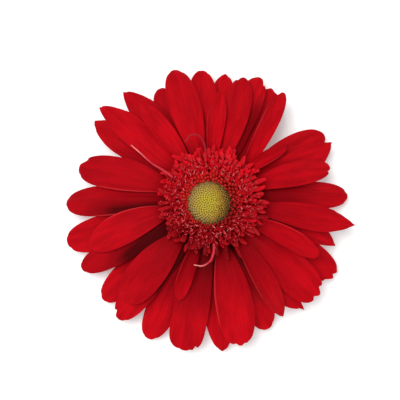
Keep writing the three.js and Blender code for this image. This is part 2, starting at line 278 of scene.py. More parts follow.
def blade_faces(rows, columns):
    """Faces of a closed blade: its upper grid, its lower grid and the margin between them."""
    below = rows * columns
    rim = [(0, j) for j in range(columns)] + [(i, columns - 1) for i in range(1, rows)]
    rim += [(rows - 1, j) for j in range(columns - 2, -1, -1)] + [(i, 0) for i in range(rows - 2, 0, -1)]
    rim = [i * columns + j for i, j in rim]
    margin = [[a, a + below, b + below, b] for a, b in zip(rim, rim[1:] + rim[:1])]
    return grid_faces(rows, columns), grid_faces(rows, columns, below, flipped=True), margin


def capped_faces(rings, sides):
    """Faces of a closed tube of rings, with one point before the first ring and one after the last."""
    faces = grid_faces(rings, sides, 1, closed=True)
    end = rings * sides + 1
    for j in range(sides):
        k = (j + 1) % sides
        faces.append([0, 1 + k, 1 + j])
        faces.append([end, end - sides + j, end - sides + k])
    return faces


class Heap:
    """Gathers closed shapes into one mesh. Every point has a tone, its place along and across the shape,
    and a seed that is the same all over the shape and makes its grain its own."""

    def __init__(self):
        self.points = []
        self.faces = []
        self.finishes = []
        self.values = {"tone": [], "along": [], "across": [], "seed": []}
        self.rng = random.Random(1)
        self.count = 0

    def add(self, points, faces, along, tone=0.5, across=0.0, finish=0, seed=None):
        """Adds a shape. finish is its material's place in the piece's list, or one place for each face."""
        if seed is None:
            seed = self.rng.random()
        self.points.append(np.asarray(points, float))
        self.faces += [[i + self.count for i in face] for face in faces]
        self.finishes += np.broadcast_to(finish, len(faces)).tolist()
        given = {"tone": tone, "along": along, "across": across, "seed": seed}
        for key, value in given.items():
            self.values[key].append(np.broadcast_to(value, len(points)))
        self.count += len(points)

    def piece(self, name, nodes, materials):
        """Makes the mesh, links it to the scene under the root body and hides the solids it stands for."""
        mesh = bpy.data.meshes.new(name)
        mesh.from_pydata(np.concatenate(self.points).tolist(), [], self.faces)
        mesh.update()
        for key, values in self.values.items():
            joined = np.concatenate(values).astype(np.float32)
            mesh.attributes.new(key, "FLOAT", "POINT").data.foreach_set("value", joined)
        for material in materials:
            mesh.materials.append(material)
        mesh.polygons.foreach_set("material_index", self.finishes)
        mesh.polygons.foreach_set("use_smooth", [True] * len(mesh.polygons))
        obj = bpy.data.objects.new(name, mesh)
        bpy.context.scene.collection.objects.link(obj)
        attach(obj, "root")
        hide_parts(*nodes)
        return obj


def unit(v):
    return v / max(np.linalg.norm(v), 1e-12)


END_BULGE = 0.6  # how far a tube's end stands out, as a share of its radius there
HAIR_EDGES = (0, 2.094, 4.189)  # angles of a bristle's three edges


def sweep(heap, path, radii, sides, tone=0.5, finish=0, squash=1.0, across=0.0):
    """Adds a closed tapered tube along path. squash flattens it from side to side."""
    path = np.asarray(path, float)
    radii = np.broadcast_to(radii, len(path))
    tangents = np.gradient(path, axis=0)
    side = np.cross(tangents[0], [0.31, 0.17, 0.93])
    angles = np.arange(sides) * 2 * math.pi / sides
    rings = []
    for point, tangent, radius in zip(path, tangents, radii):
        tangent = unit(tangent)
        side = unit(side - tangent * (side @ tangent))
        other = np.cross(tangent, side)
        circle = np.outer(np.cos(angles), side) + np.outer(np.sin(angles), other) * squash
        rings.append(point + radius * circle)
    last = path[-1] + unit(tangents[-1]) * radii[-1] * END_BULGE
    points = np.concatenate([[path[0]], *rings, [last]])
    along = np.concatenate([[0], np.repeat(np.linspace(0, 1, len(path)), sides), [1]])
    heap.add(points, capped_faces(len(path), sides), along, tone, across, finish)


def hair(heap, root, tip, radius, tone=0.5, finish=0):
    """Adds one fine tapered bristle."""
    direction = unit(tip - root)
    side = unit(np.cross(direction, [0.2, 0.9, 0.37]))
    other = np.cross(direction, side)
    base = [root + radius * (math.cos(a) * side + math.sin(a) * other) for a in HAIR_EDGES]
    faces = [[0, 2, 1], [0, 1, 3], [1, 2, 3], [2, 0, 3]]
    heap.add([*base, tip], faces, [0, 0, 0, 1], tone, finish=finish)


STRAP_COLUMNS = 5


def strap(heap, path, ups, widths, thickness, tone=0.5, teeth=0.0, cup=0.0):
    """Adds a small blade along path. ups point out of its face, and teeth and cup are shares of its width."""
    rows = len(path)
    across = np.linspace(-1, 1, STRAP_COLUMNS)
    tangents = np.gradient(path, axis=0)
    upper = []
    lower = []
    for i, (point, tangent, up, width) in enumerate(zip(path, tangents, ups, widths)):
        tangent = unit(tangent)
        side = unit(np.cross(up, tangent))
        up = np.cross(tangent, side)
        for a in across:
            tooth = teeth * width * math.cos(2 * math.pi * a) if i == rows - 1 else 0
            centre = point + side * a * width / 2 + up * cup * width * a * a + tangent * tooth
            half = thickness / 2 * (1 - 0.5 * a * a)
            upper.append(centre + up * half)
            lower.append(centre - up * half)
    top, bottom, margin = blade_faces(rows, STRAP_COLUMNS)
    along = np.tile(np.repeat(np.linspace(0, 1, rows), STRAP_COLUMNS), 2)
    heap.add(upper + lower, top + bottom + margin, along, tone, np.tile(across, rows * 2))


# ---- Materials ---------------------------------------------------------------------------------


# The Mix node's factor, its two colours and its mixed colour go by number, since their names repeat.
MIX_FACTOR, MIX_FIRST, MIX_SECOND, MIXED = 0, 6, 7, 2


class Finish:
    """A node material built up step by step."""

    def __init__(self, name, roughness=0.5, specular=0.4, sheen=0.0, sheen_colour=(1, 1, 1)):
        self.material = bpy.data.materials.new(name)
        self.material.use_nodes = True
        self.tree = self.material.node_tree
        self.shader = self.tree.nodes["Principled BSDF"]
        self.shader.inputs["Roughness"].default_value = roughness
        self.shader.inputs["Specular IOR Level"].default_value = specular
        self.shader.inputs["Sheen Weight"].default_value = sheen
        self.shader.inputs["Sheen Roughness"].default_value = 0.45
        self.shader.inputs["Sheen Tint"].default_value = (*sheen_colour, 1)

    def node(self, kind, inputs=None, **settings):
        made = self.tree.nodes.new(kind)
        for key, value in settings.items():
            setattr(made, key, value)
        for key, value in (inputs or {}).items():
            if isinstance(value, bpy.types.NodeSocket):
                self.tree.links.new(value, made.inputs[key])
            else:
                made.inputs[key].default_value = value
        return made

    def attribute(self, name):
        """One of the values that a Heap gives to its points."""
        return self.node("ShaderNodeAttribute", attribute_name=name).outputs["Fac"]

    def place(self):
        """Coordinates in the flower."""
        return self.node("ShaderNodeTexCoord").outputs["Object"]

    def blade_place(self, across, along, seed=11.0):
        """Coordinates along and across a blade, different on each blade."""
        combined = self.node("ShaderNodeCombineXYZ")
        for key, name, scale in (("X", "across", across), ("Y", "along", along), ("Z", "seed", seed)):
            scaled = self.maths("MULTIPLY", self.attribute(name), scale)
            self.tree.links.new(scaled, combined.inputs[key])
        return combined.outputs["Vector"]

    def maths(self, operation, a, b=0.0, clamp=False):
        made = self.node("ShaderNodeMath", {0: a, 1: b}, operation=operation, use_clamp=clamp)
        return made.outputs["Value"]

    def range(self, value, low, high, to_low=0.0, to_high=1.0):
        """Smoothly turns low to high into to_low to to_high, and holds those outside."""
        inputs = {"Value": value, "From Min": low, "From Max": high, "To Min": to_low, "To Max": to_high}
        return self.node("ShaderNodeMapRange", inputs, interpolation_type="SMOOTHSTEP").outputs["Result"]

    def noise(self, vector, scale, detail=3.0, roughness=0.5):
        inputs = {"Vector": vector, "Scale": scale, "Detail": detail, "Roughness": roughness}
        return self.node("ShaderNodeTexNoise", inputs).outputs["Fac"]

    def mix(self, factor, a, b, blend="MIX"):
        made = self.node("ShaderNodeMix", data_type="RGBA", blend_type=blend)
        for index, value in ((MIX_FACTOR, factor), (MIX_FIRST, a), (MIX_SECOND, b)):
            if isinstance(value, bpy.types.NodeSocket):
                self.tree.links.new(value, made.inputs[index])
            else:
                made.inputs[index].default_value = value if index == MIX_FACTOR else (*value, 1)
        return made.outputs[MIXED]

    def paint(self, socket):
        self.tree.links.new(socket, self.shader.inputs["Base Color"])

    def roughen(self, socket):
        self.tree.links.new(socket, self.shader.inputs["Roughness"])

    def bump(self, height, depth, strength=1.0):
        """Fine relief, depth metres deep."""
        inputs = {"Height": height, "Distance": depth, "Strength": strength}
        made = self.node("ShaderNodeBump", inputs)
        self.tree.links.new(made.outputs["Normal"], self.shader.inputs["Normal"])

    def translucent(self, weight, radius, scale):
        """Lets light through: radius says how far red, green and blue go, as shares of scale in metres."""
        self.shader.inputs["Subsurface Weight"].default_value = weight
        self.shader.inputs["Subsurface Radius"].default_value = radius
        self.shader.inputs["Subsurface Scale"].default_value = scale
        return self.material


def dimmed(colour_value, factor):
    """A colour made deeper, or lighter where factor is over 1."""
    return tuple(c * factor for c in colour_value)


def ray_face_finish(colours):
    """Velvet red with fine lengthwise streaks, deeper at the foot and pinkish at the thin margins; the tone
    carries painted light and shade, and the pinkish margins are partly a painted highlight.
    """
    f = Finish("ray_velvet_red", 0.6, 0.035, sheen=0.025, sheen_colour=(1.0, 0.16, 0.18))
    across = f.attribute("across")
    along = f.attribute("along")
    streaks = f.noise(f.blade_place(26, 2.2), 1.0, 4, 0.6)
    patches = f.noise(f.blade_place(2.2, 3.2, 23), 1.0, 2, 0.5)
    tone = f.range(f.attribute("tone"), 0, 1, 0.1, 1.0)
    depth = f.maths("MULTIPLY", f.range(patches, 0.3, 0.7, 0.7, 1.2), tone, clamp=True)
    face = f.mix(depth, dimmed(colours.ray_deep, 1.25), colours.ray_light)
    streaked = f.mix(f.range(streaks, 0.36, 0.66, 0.26, 0.0), face, colours.ray_deep)
    foot = f.mix(f.range(along, 0.0, 0.34, 0.75, 0.0), streaked, colours.ray_deep)
    edge = f.maths("ABSOLUTE", across)
    # Painted shadow: tone below zero turns the red nearly black.
    shaded = f.mix(f.range(f.attribute("tone"), -0.75, 0.05, 0.85, 0.0), foot, dimmed(colours.ray_deep, 0.2))
    # The pinkish margin is partly the thin edge's paler red and partly painted highlight.
    margin = f.mix(f.range(edge, 0.975, 1.05, 0.0, 0.75), shaded, colours.ray_margin)
    f.paint(margin)
    f.roughen(f.range(streaks, 0.3, 0.7, 0.52, 0.7))
    fine = f.noise(f.blade_place(60, 9), 1.0, 3, 0.6)
    f.bump(f.maths("ADD", streaks, f.maths("MULTIPLY", fine, 0.5)), 0.00016, 0.7)
    return f.translucent(0.12, (0.9, 0.12, 0.08), 0.0011)


def ray_back_finish(colours):
    """Paler matt underside with raised veins."""
    f = Finish("ray_back_dull_red", 0.7, 0.12, sheen=0.06, sheen_colour=(1.0, 0.4, 0.4))
    veins = f.noise(f.blade_place(15, 1.2), 1.0, 3, 0.5)
    blotches = f.noise(f.place(), 160, 3)
    face = f.mix(f.range(veins, 0.38, 0.62), dimmed(colours.ray_back, 0.72), colours.ray_back)
    foot_buff = (0.5, 0.2, 0.12)
    pale = f.mix(f.range(f.attribute("along"), 0.0, 0.3, 0.6, 0.0), face, foot_buff)
    f.paint(f.mix(f.range(blotches, 0.35, 0.7, 0.0, 0.25), pale, dimmed(colours.ray_back, 1.35)))
    f.bump(veins, 0.0003, 0.8)
    return f.translucent(0.15, (0.9, 0.2, 0.12), 0.001)


def floret_finish(colours):
    """Waxy red of the disc florets' tubes and lips, each a little different, with painted light by bearing, a
    painted highlight towards the tips and painted shade at the roots.
    """
    f = Finish("disc_floret_red", 0.45, 0.07, sheen=0.01, sheen_colour=(1.0, 0.3, 0.3))
    grain = f.noise(f.place(), 1400, 3)
    tone = f.attribute("tone")
    base = f.mix(tone, dimmed(colours.floret, 0.24), colours.floret)
    brightest = dimmed(colours.floret, 1.12)
    # Painted highlight: brighter towards the tips of the brighter florets.
    tipwards = f.range(f.attribute("along"), 0.45, 1.0, 0.0, 0.8)
    lit = f.mix(f.maths("MULTIPLY", tipwards, tone), base, brightest)
    # Painted shade: darker towards the root, where the tubes stand close.
    root = f.mix(f.range(f.attribute("along"), 0.0, 0.35, 0.6, 0.0), lit, dimmed(colours.ray_deep, 0.6))
    f.paint(f.mix(f.range(grain, 0.4, 0.7, 0.0, 0.3), root, dimmed(colours.floret, 0.55)))
    f.bump(grain, 0.00008, 0.6)
    return f.translucent(0.15, (0.9, 0.15, 0.1), 0.0008)


def closed_finish(colours):
    """Smooth warm red of the florets that are still closed, dusted with olive towards their tips, with
    painted light by bearing and painted shade towards their roots.
    """
    f = Finish("closed_floret_red", 0.5, 0.08)
    grain = f.noise(f.place(), 1100, 3)
    lit = f.mix(f.attribute("tone"), dimmed(colours.closed, 0.36), colours.closed)
    # Painted shade: darker towards the root.
    root = f.mix(f.range(f.attribute("along"), 0.1, 0.6, 0.7, 0.0), lit, dimmed(colours.closed, 0.35))
    olive_dust = (0.52, 0.06, 0.04)
    f.paint(f.mix(f.range(grain, 0.48, 0.7, 0.0, 0.5), root, olive_dust))
    f.bump(grain, 0.00007, 0.6)
    return f.translucent(0.15, (0.9, 0.15, 0.1), 0.0008)


def anther_finish(colours):
    """Dark maroon anther columns with pale grains of pollen."""
    f = Finish("anther_maroon", 0.6, 0.15)
    grains = f.noise(f.place(), 3800, 2)
    column = f.mix(f.attribute("along"), colours.anther, dimmed(colours.floret, 0.7))
    pollen = (0.6, 0.16, 0.1)
    f.paint(f.mix(f.range(grains, 0.62, 0.7), column, pollen))
    f.bump(grains, 0.00006)
    return f.material


def style_finish(colours):
    """Red filaments that turn to glossy pink towards their tips, the palest pink partly painted highlight."""
    f = Finish("style_pink", 0.4, 0.2)
    grain = f.noise(f.place(), 2200, 2)
    tip_pink_and_highlight = (1.0, 0.4, 0.36)
    filament_red = (0.42, 0.006, 0.016)
    grain_pink = (0.66, 0.06, 0.08)
    # The palest pink is partly the tips' own colour and partly painted highlight.
    tip = f.mix(f.range(f.attribute("tone"), 0, 1, 0.0, 0.75), colours.style, tip_pink_and_highlight)
    shaft = f.mix(f.range(f.attribute("along"), 0.4, 1.0), filament_red, tip)
    f.paint(f.mix(f.range(grain, 0.45, 0.75, 0.0, 0.25), shaft, grain_pink))
    f.bump(grain, 0.00005, 0.5)
    return f.translucent(0.2, (0.9, 0.3, 0.25), 0.0006)


def thread_finish():
    """Pink rolled florets: dull red at the root, paler and glossier towards the free end."""
    f = Finish("thread_pink", 0.5, 0.12)
    grain = f.noise(f.place(), 1500, 2)
    dull_red = (0.3, 0.003, 0.01)
    pink_red = (0.62, 0.028, 0.045)
    end_pink = (0.88, 0.27, 0.25)
    grain_red = (0.4, 0.01, 0.02)
    tone = f.attribute("tone")
    body = f.mix(tone, dull_red, pink_red)
    ended = f.maths("MULTIPLY", f.range(f.attribute("along"), 0.55, 0.95), tone, clamp=True)
    pale = f.mix(ended, body, end_pink)
    f.paint(f.mix(f.range(grain, 0.4, 0.7, 0.0, 0.3), pale, grain_red))
    f.bump(grain, 0.00006, 0.5)
    return f.translucent(0.15, (0.9, 0.3, 0.25), 0.0006)


def bud_finish(colours):
    """Green buds, yellower towards the middle, whose tips ripen through brown to dark red, with painted shade
    towards each bud's root.
    """
    f = Finish("bud_green_yellow", 0.6, 0.1, sheen=0.03, sheen_colour=(1.0, 1.0, 0.6))
    grain = f.noise(f.place(), 1900, 3)
    ripe = f.attribute("tone")
    grain_straw = (0.55, 0.46, 0.08)
    outer_buff = (0.42, 0.26, 0.08)
    ochre = (0.7, 0.43, 0.045)
    brown = (0.3, 0.14, 0.03)
    shaded_green = (0.1, 0.08, 0.012)
    young = f.mix(f.range(grain, 0.35, 0.7), colours.bud, grain_straw)
    faded = f.mix(f.range(f.attribute("across"), 0.2, 0.95, 0.0, 0.85), young, outer_buff)
    turning = f.mix(f.range(ripe, 0.1, 0.5, 0.0, 0.75), faded, ochre)
    ripest = f.mix(f.range(ripe, 0.5, 0.95, 0.0, 0.4), turning, brown)
    reach = f.maths("ADD", f.attribute("along"), f.range(ripe, 0.3, 0.9, 0.0, 0.09))
    spot = f.maths("MULTIPLY", f.range(reach, 0.62, 0.98), f.range(ripe, 0.04, 0.6), clamp=True)
    dark = f.mix(spot, ripest, colours.bud_tip)
    # Painted shade between the buds: darker towards each bud's root.
    f.paint(f.mix(f.range(f.attribute("along"), 0.0, 0.45, 0.8, 0.0), dark, shaded_green))
    f.bump(grain, 0.00007, 0.7)
    return f.translucent(0.12, (0.5, 0.6, 0.1), 0.0007)


def bristle_finish(colours):
    """Fine straw-coloured bristles, browner at the root."""
    f = Finish("bristle_straw", 0.5, 0.4)
    grain = f.noise(f.place(), 900, 2)
    shaft = f.mix(f.range(f.attribute("along"), 0.0, 0.8), dimmed(colours.bristle, 0.35), colours.bristle)
    grain_brown = (0.3, 0.22, 0.1)
    f.paint(f.mix(f.range(grain, 0.4, 0.7, 0.0, 0.45), shaft, grain_brown))
    return f.material


def bract_finish(colours):
    """Green bracts with paler margins, reddish tips and fine lengthwise lines."""
    f = Finish("bract_green", 0.58, 0.35, sheen=0.25, sheen_colour=(0.9, 1.0, 0.85))
    lines = f.noise(f.blade_place(14, 1.6), 1.0, 3, 0.5)
    mottle = f.noise(f.place(), 420, 4)
    mottle_green = (0.22, 0.3, 0.09)
    margin_green = (0.34, 0.42, 0.2)
    tip_red = (0.24, 0.05, 0.04)
    skin = f.mix(f.range(lines, 0.35, 0.65), dimmed(colours.bract, 0.62), colours.bract)
    skin = f.mix(f.range(mottle, 0.4, 0.7, 0.0, 0.4), skin, mottle_green)
    edge = f.maths("ABSOLUTE", f.attribute("across"))
    skin = f.mix(f.range(edge, 0.7, 1.0, 0.0, 0.6), skin, margin_green)
    f.paint(f.mix(f.range(f.attribute("along"), 0.8, 1.0, 0.0, 0.75), skin, tip_red))
    f.bump(lines, 0.00022, 0.8)
    return f.translucent(0.08, (0.3, 0.6, 0.1), 0.0008)


def bract_inside_finish():
    """The bracts' shaded inner faces: dull red-brown, partly their own colour and partly painted shade,
    smoother than the outside.
    """
    f = Finish("bract_inside_brown", 0.6, 0.2)
    lines = f.noise(f.blade_place(10, 1.2), 1.0, 3, 0.5)
    # Both browns are kept dark as painted shade, since the inner faces lie in shade.
    red_brown = (0.1, 0.012, 0.01)
    dull_brown = (0.17, 0.05, 0.02)
    f.paint(f.mix(f.range(lines, 0.35, 0.65), red_brown, dull_brown))
    f.bump(lines, 0.0001, 0.6)
    return f.material


def stalk_finish(colours):
    """Pale green ribbed skin, with darker flecks."""
    f = Finish("stalk_green", 0.5, 0.4, sheen=0.2, sheen_colour=(0.9, 1.0, 0.85))
    flecks = f.noise(f.place(), 620, 4)
    broad = f.noise(f.place(), 90, 2)
    skin = f.mix(f.range(broad, 0.35, 0.65), dimmed(colours.stalk, 0.8), colours.stalk)
    f.paint(f.mix(f.range(flecks, 0.52, 0.7, 0.0, 0.5), skin, dimmed(colours.stalk, 0.55)))
    f.bump(flecks, 0.0001, 0.6)
    return f.translucent(0.1, (0.4, 0.7, 0.2), 0.001)


def pith_finish(colours):
    """The wet cut end: pale pith, a ring of vessels and a green rind."""
    f = Finish("cut_end_pith", 0.32, 0.5)
    cells = f.node("ShaderNodeTexVoronoi", {"Vector": f.place(), "Scale": 2600.0}).outputs["Distance"]
    rim = f.attribute("along")
    vessels = f.noise(f.place(), 1500, 1)
    flesh = f.mix(f.range(cells, 0.1, 0.6), dimmed(colours.pith, 0.8), colours.pith)
    ringed = f.maths("MULTIPLY", f.range(rim, 0.6, 0.72), f.range(vessels, 0.48, 0.56), clamp=True)
    flesh = f.mix(ringed, flesh, dimmed(colours.stalk, 0.6))
    f.paint(f.mix(f.range(rim, 0.84, 0.92), flesh, colours.stalk))
    f.bump(cells, 0.00008)
    return f.translucent(0.2, (0.6, 0.8, 0.3), 0.001)


def floor_finish(colours):
    """Plain matt white, which glows a little so that shadows on it stay pale."""
    f = Finish("floor_white", 0.9, 0.1)
    f.shader.inputs["Emission Color"].default_value = (1, 1, 1, 1)
    f.shader.inputs["Emission Strength"].default_value = 0.2
    paper = f.noise(f.place(), 60, 2)
    f.paint(f.mix(f.range(paper, 0.3, 0.7), dimmed(colours.floor, 0.985), colours.floor))
    return f.material


# ---- Ray florets -------------------------------------------------------------------------------

# These tables name ray florets by their layer and number, such as inner_04.

# Ray florets that end in a point: how far across the blade the point stands, and how sharp it is.
POINTED = {
    "inner_01": (-0.05, 0.9),
    "inner_04": (-0.1, 0.1),
    "inner_06": (0.46, 0.66),
    "inner_13": (0.1, 0.45),
    "middle_01": (0.5, 0.85),
    "middle_04": (0.46, 0.64),
    "middle_09": (0.55, 1.0),
    "middle_10": (-0.5, 0.85),
    "outer_04": (0.0, 0.35),
    "outer_06": (-0.1, 0.5),
    "outer_10": (-0.1, 0.4),
    "short_02": (0.0, 0.4),
}
POINT_WIDTH = 0.07  # share of a ray floret's half width that its small sharp point takes up
POINT_LENGTH = 0.016  # share of a ray floret's length that its small sharp point takes up
# Notches in the tips of ray florets, each with its place across the blade, depth and width.
NOTCHED = {
    "inner_02": [(-0.35, 0.02, 0.09)],
    "inner_03": [(0.4, 0.018, 0.1), (-0.55, 0.02, 0.1)],
    "inner_08": [(-0.48, 0.03, 0.14)],
    "inner_11": [(-0.25, 0.022, 0.11), (0.2, 0.014, 0.09)],
    "inner_12": [(0.44, 0.034, 0.13), (-0.12, 0.034, 0.14)],
    "middle_02": [(-0.5, 0.03, 0.1)],
    "middle_07": [(-0.4, 0.03, 0.1)],
    "middle_08": [(0.62, 0.03, 0.08)],
    "outer_03": [(-0.2, 0.02, 0.16)],
    "outer_12": [(-0.05, 0.03, 0.13), (-0.55, 0.03, 0.12)],
}
# Ray florets with squarer tips than their solids, and by what factor.
SQUARE = {"middle_08": 1.9, "outer_07": 1.3}
# Ray florets whose blades are narrower than their solids, and by what factor.
NARROWED = {
    "inner_04": 0.86,
    "short_01": 0.85,
    "short_03": 0.9,
    "middle_05": 0.9,
    "middle_06": 0.88,
}
# Ridges (above zero) and creases (below zero) along a blade: place across, height in mm and width.
FOLDED = {
    "middle_05": (0.02, 0.75, 0.3),
    "middle_03": (0.1, -0.45, 0.1),
    "middle_08": (-0.05, -0.5, 0.09),
    "outer_04": (0.0, -0.4, 0.1),
    "inner_05": (-0.3, 0.3, 0.25),
    "inner_10": (0.35, 0.35, 0.3),
    "inner_12": (0.1, 0.4, 0.3),
    "inner_02": (-0.2, 0.35, 0.25),
    "outer_02": (0.2, -0.35, 0.14),
    "outer_09": (0.0, -0.3, 0.12),
}
# Blades with one edge turned up: the side, 1 for the left when looking outwards, and the height in mm.
TURNED_UP = {
    "inner_04": (1, 1.5),
    "inner_08": (1, 0.7),
    "inner_11": (-1, 0.9),
    "inner_13": (-1, 1.5),
    "inner_09": (-1, 0.7),
    "inner_14": (1, 0.8),
    "middle_05": (1, 0.5),
    "short_01": (-1, 1.2),
    "short_02": (1, 1.0),
    "short_03": (-1, 1.3),
}
# Painted shade: how much deeper the red is on the inner half of the layers that other florets overlap,
# and of the single ray florets that differ from their layer; below zero it is painted light.
OVERLAP_SHADE = {
    "outer": 0.55,
    "middle": 0.4,
    "middle_05": 0.1,
    "middle_06": 0.75,
    "middle_07": 0.65,
    "middle_08": 0.5,
    "outer_10": 0.7,
    "outer_11": 0.7,
    "inner_09": -0.12,
    "inner_10": -0.15,
    "short_01": -0.2,
    "short_03": 0.15,
    "outer_07": 0.8,
    "outer_08": 0.8,
}
# How much wider the hidden claws of the lower layers are than in their solids, so that they close up.
CLAW_SPREAD = {"outer": 0.5, "middle": 0.35}
# Painted shadow of a neighbour on top, as the deepest red beside it: the side, 1 for the left when looking
# outwards, and how much.
SHADED = {
    "middle_05": (1, 1.0),
    "middle_06": (1, 0.8),
    "middle_07": (1, 0.9),
    "middle_09": (-1, 0.8),
    "middle_02": (-1, 0.8),
    "outer_11": (1, 0.8),
    "outer_10": (1, 0.6),
}

BLADE_ROWS = 50
BLADE_COLUMNS = 45
ROW_CROWDING = 0.92  # below 1, rows stand closer together towards the tip
SHOULDERS = slice(5, 7)  # the rows of a ray floret's solid that say how blunt its tip is
VEINS = 5
ROLLED_BELOW = 10.0 * MM  # blades narrower than this roll in at their edges


def bell(distance, width):
    """1 at no distance, and next to nothing at twice the width."""
    return np.exp(-((distance / width) ** 2))


def tip_outline(floret, across, blunt, rng):
    """How far each lengthwise line of the blade reaches, as a share of the floret's length."""
    apex, sharpness = POINTED.get(floret, (0.0, 0.0))
    away = np.where(across > apex, (across - apex) / (1 - apex), (apex - across) / (1 + apex))
    shoulder = 2.2 - 0.9 * sharpness
    fullness = 1 / blunt + (0.6 - 1 / blunt) * sharpness
    reach = RAY_WIDEST + (1 - RAY_WIDEST) * (1 - np.clip(away, 0, 1) ** shoulder) ** fullness
    reach -= POINT_LENGTH * sharpness * (1 - bell(across - apex, POINT_WIDTH)) * (reach > 0.8)
    for place, depth, width in NOTCHED.get(floret, []):
        reach -= depth * bell(across - place, width)
    for side in (-1, 1):
        place = side * rng.uniform(0.26, 0.46)
        depth = rng.uniform(0.002, 0.011)
        reach -= depth * bell(across - place, 0.1)
    return reach


def ray_relief(floret, sizes, a, s, ends, rng):
    """How far veins, folds and ripples raise a blade. a runs across it, s along it, and ends are its tips."""
    fade = np.clip(s / 0.2, 0, 1) * np.clip((ends - s) / 0.12, 0, 1) ** 0.5
    veins = np.zeros_like(s)
    for k in range(VEINS):
        place = -0.68 + 0.34 * k + rng.uniform(-0.06, 0.06)
        veins += rng.uniform(0.35, 1.0) * bell(a - place, rng.uniform(0.05, 0.09))
    place, lift, width = FOLDED.get(floret, (0, 0, 1))
    fold = lift * MM * bell(a - place, width)
    wave = np.sin(s * rng.uniform(7, 12) + rng.uniform(0, 6)) + 0.5 * np.sin(s * 19 + rng.uniform(0, 6))
    ripple = sizes.ripple * wave * np.abs(a) ** 2 * np.sign(a + 0.01) * np.clip(s / 0.3, 0, 1)
    return (fold - sizes.vein_depth * veins) * fade + ripple


def ray_tones(floret, forward, a, s, rng):
    """The blade's tones: its bearing, the florets over it and the neighbour beside it deepen its red, as
    painted light, painted shade and a painted shadow.
    """
    bearing = math.atan2(forward[1], forward[0])
    # Painted shade under the florets over this one; below zero it is painted light.
    overlap_shade = OVERLAP_SHADE.get(floret, OVERLAP_SHADE.get(floret.split("_")[0], 0))
    # Painted light by bearing: the inner half is brightest towards 1.5 rad, the outer half towards -0.3 rad.
    inner_tone_and_light = 0.52 + 0.4 * math.cos(bearing - 1.5) - overlap_shade
    outer_tone_and_light = 0.66 + 0.08 * math.cos(bearing + 0.3)
    blend = np.clip((s - 0.25) / 0.5, 0, 1)
    tones = inner_tone_and_light + (outer_tone_and_light - inner_tone_and_light) * blend + rng.uniform(-0.13, 0.13)
    # Painted shadow beside the neighbour on top.
    side, amount = SHADED.get(floret, (1, 0))
    return tones - amount * np.clip((a * side + 0.1) / 0.7, 0, 1) * np.clip((0.85 - s) / 0.3, 0, 1)


def ray_floret(node, number, sizes, materials):
    """One ray floret: a thin blade on the middle surface of its solid, with veins, teeth and thin margins."""
    rng = random.Random(100 + number)
    floret = node.replace("_ray_floret", "")
    ray = ray_sections(node)
    along = ray["along"]
    profile = ray["profile"]
    narrowing = NARROWED.get(floret, 1)
    # The full half width is taken a little over the widest row, so that the shoulders' curve can be read.
    full = profile[:, 1].max() * 1.01
    rounding = 1 - (profile[SHOULDERS, 1] / full) ** 2
    past = (along[SHOULDERS] - RAY_WIDEST) / (1 - RAY_WIDEST)
    blunt = float(np.mean(np.log(rounding) / np.log(past))) * SQUARE.get(floret, 1)
    full *= narrowing

    across = np.sin(np.linspace(-1, 1, BLADE_COLUMNS) * math.pi / 2)
    ends = tip_outline(floret, across, blunt, rng)
    # On the blade's grid, s is the place along it and a the place across it, from -1 to 1.
    s = np.linspace(0, 1, BLADE_ROWS)[:, None] ** ROW_CROWDING * ends
    a = np.broadcast_to(across, s.shape)
    inner = along < RAY_WIDEST
    marks = np.append(along[inner], [RAY_WIDEST, 1.0])
    widths = np.append(profile[inner, 1] * narrowing, [full, full])
    claw = CLAW_SPREAD.get(floret.split("_")[0], 0) * np.clip((0.4 - s) / 0.3, 0, 1)
    half = smooth(marks, widths, s) * (1 + claw)
    centre, solid_half, level, roll, cup = np.moveaxis(smooth(along, profile, s), -1, 0)
    lateral = centre + a * half
    local = np.clip(a * half / np.maximum(solid_half, 1e-5), -1, 1)
    height = level + roll * local + cup * local**2
    height += ray_relief(floret, sizes, a, s, ends, rng)
    side, lift = TURNED_UP.get(floret, (1, 0))
    hump = np.sin(math.pi * np.clip(s, 0, 1)) ** 0.6
    height += lift * MM * np.clip(a * side, 0, 1) ** 5 * hump
    narrowness = np.clip((ROLLED_BELOW - 2 * full) / (4 * MM), 0, 1)
    height += sizes.inrolling * narrowness * np.abs(a) ** 2.4 * hump
    tones = ray_tones(floret, ray["forward"], a, s, rng)

    rim = np.clip((ends - s) / 0.05, 0, 1)
    thick = sizes.ray_margin + (sizes.ray_thickness - sizes.ray_margin) * (1 - a**4) * rim**0.5
    plan = ray["foot"] + s[..., None] * ray["reach"] * ray["forward"] + lateral[..., None] * ray["left"]
    upper = np.concatenate([plan, (height + thick / 2)[..., None]], axis=-1).reshape(-1, 3)
    lower = np.concatenate([plan, (height - thick / 2)[..., None]], axis=-1).reshape(-1, 3)
    # An edge that is turned up shows more of its pale margin, a painted highlight where the edge catches the
    # light.
    turned = 0.06 + 0.05 * abs(lift) if lift else 0
    across_with_edge_highlight = a * (1 + turned * hump * (a * side > 0))

    heap = Heap()
    top, bottom, margin = blade_faces(BLADE_ROWS, BLADE_COLUMNS)
    # Rows run outwards and columns to the left, so every face has to be turned over.
    heap.add(
        np.concatenate([upper, lower]),
        [face[::-1] for face in top + bottom + margin],
        np.tile(s.ravel(), 2),
        np.tile(tones.ravel(), 2),
        np.tile(across_with_edge_highlight.ravel(), 2),
        [0] * len(top) + [1] * len(bottom) + [0] * len(margin),
        rng.random(),
    )
    heap.piece(node.replace("ray_floret", "ray"), [node], materials)


# ---- Disc florets ------------------------------------------------------------------------------

